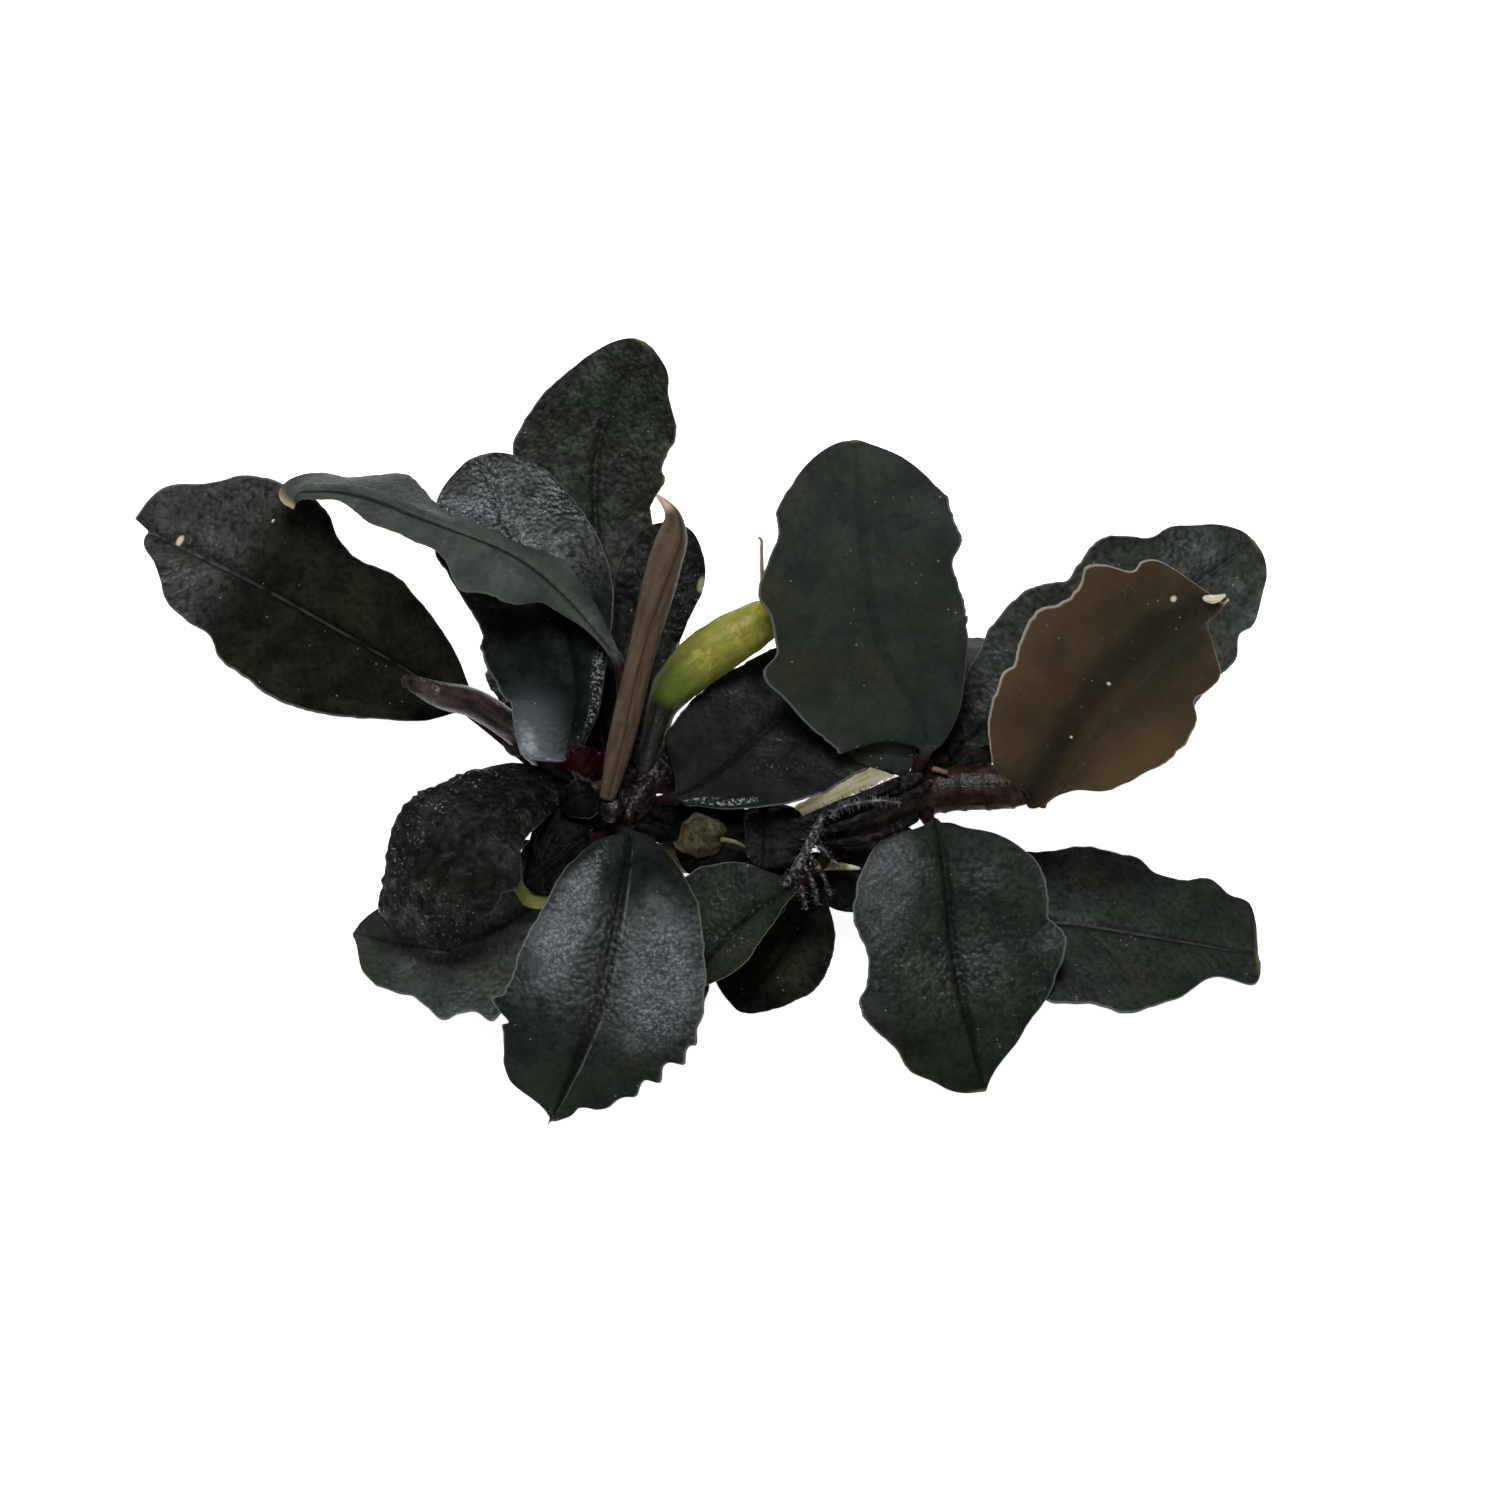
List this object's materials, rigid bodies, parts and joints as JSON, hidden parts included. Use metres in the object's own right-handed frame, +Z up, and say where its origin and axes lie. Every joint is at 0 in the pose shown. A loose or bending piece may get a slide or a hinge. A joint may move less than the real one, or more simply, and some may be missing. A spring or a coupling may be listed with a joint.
{
  "type": "bucephalandra aquarium plant",
  "caption": "Small dark-leaved bucephalandra, an aquarium plant with wavy-edged leaves, a creeping rhizome, wiry roots and a young spathe, resting on a surface.",
  "frame": {"origin": "middle of the plant's outline, on the surface it rests on", "axes": "+X along the rhizome to the plant's right, +Y away from the front leaves, +Z up"},
  "size_m": [0.1127, 0.077, 0.0393],
  "materials": {
    "dark_green_leaf": "leathery, softly glossy, very dark green",
    "blue_green_leaf": "leathery, glossy, very dark blue-green",
    "grey_green_leaf": "leathery, satin, grey-green",
    "old_leaf": "old blackish green leaf",
    "bronze_leaf": "bronze-brown leaf underside",
    "maroon_shoot": "dark maroon shoot skin",
    "olive_rhizome": "knobby olive-tan old rhizome",
    "rolled_leaf": "mauve-brown rolled leaf, satin",
    "yellow_green_spathe": "yellow-green, smooth",
    "pale_stalk": "pale yellow, dry",
    "root": "dark purple-brown wiry root"
  },
  "bodies": {
    "root": {"leaf_far_left": "dark_green_leaf", "leaf_narrow_left": "grey_green_leaf", "leaf_glossy_left": "blue_green_leaf", "leaf_top": "dark_green_leaf", "leaf_behind_new_leaf": "dark_green_leaf", "leaf_large_centre": "dark_green_leaf", "leaf_right_back": "dark_green_leaf", "leaf_brown": "bronze_leaf", "leaf_under_centre": "blue_green_leaf", "leaf_hidden_back": "old_leaf", "leaf_hidden_left": "old_leaf", "leaf_old_pitted": "old_leaf", "leaf_low_left": "dark_green_leaf", "leaf_large_front": "blue_green_leaf", "leaf_grey_front": "grey_green_leaf", "leaf_dark_front": "old_leaf", "leaf_front_right": "dark_green_leaf", "leaf_low_right": "dark_green_leaf", "leaf_small_middle": "old_leaf", "leaf_inner_front": "old_leaf", "left_shoot": "maroon_shoot", "right_shoot": "maroon_shoot", "rhizome": "olive_rhizome", "rolled_new_leaf": "rolled_leaf", "rolled_stump": "rolled_leaf", "spathe": "yellow_green_spathe", "old_stalk": "pale_stalk", "upper_root": "root", "root_left": "root", "root_left_back": "root", "root_middle": "root", "root_back": "root", "root_right": "root", "root_right_back": "root"}
  },
  "joints": []
}
